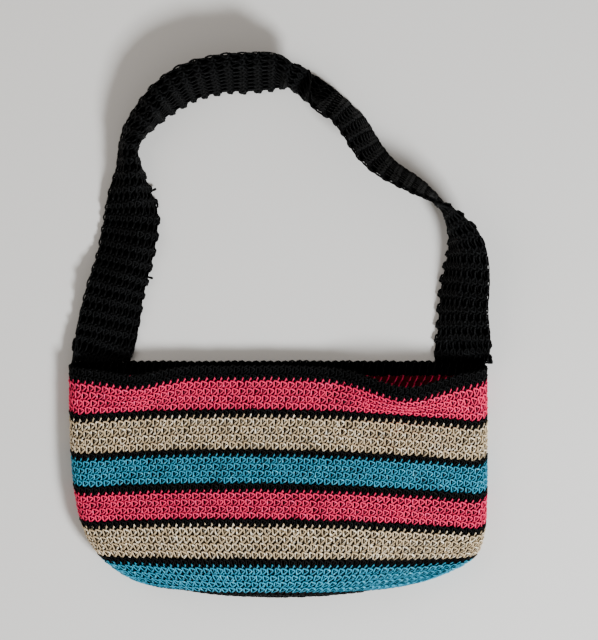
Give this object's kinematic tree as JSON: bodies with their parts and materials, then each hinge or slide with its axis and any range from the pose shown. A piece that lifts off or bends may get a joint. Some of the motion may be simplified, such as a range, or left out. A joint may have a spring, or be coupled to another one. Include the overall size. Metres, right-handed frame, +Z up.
{
  "type": "crochet shoulder bag",
  "caption": "Striped crochet shoulder bag with an oval base, an open mouth and one wide strap, lying on its back.",
  "frame": {"origin": "on the table under the bag's flat back wall, at mid width and at the middle of the upper turquoise stripe", "axes": "+X to the right across the bag, +Y from the base to the strap, +Z up from the table through the front wall"},
  "size_m": [0.3631, 0.4664, 0.053],
  "materials": {
    "black_yarn": "matte crocheted yarn",
    "pink_yarn": "matte crocheted yarn",
    "beige_yarn": "matte heathered crocheted yarn",
    "turquoise_yarn": "matte crocheted yarn"
  },
  "bodies": {
    "root": {"base_oval": "black_yarn", "turquoise_lower_band": "turquoise_yarn", "black_ring_1": "black_yarn", "beige_lower_band": "beige_yarn", "black_ring_2": "black_yarn", "pink_lower_band": "pink_yarn", "black_ring_3": "black_yarn", "turquoise_upper_band": "turquoise_yarn", "black_ring_4": "black_yarn", "beige_upper_band": "beige_yarn", "black_ring_5": "black_yarn", "pink_upper_band": "pink_yarn", "rim": "black_yarn", "strap": "black_yarn"}
  },
  "joints": []
}
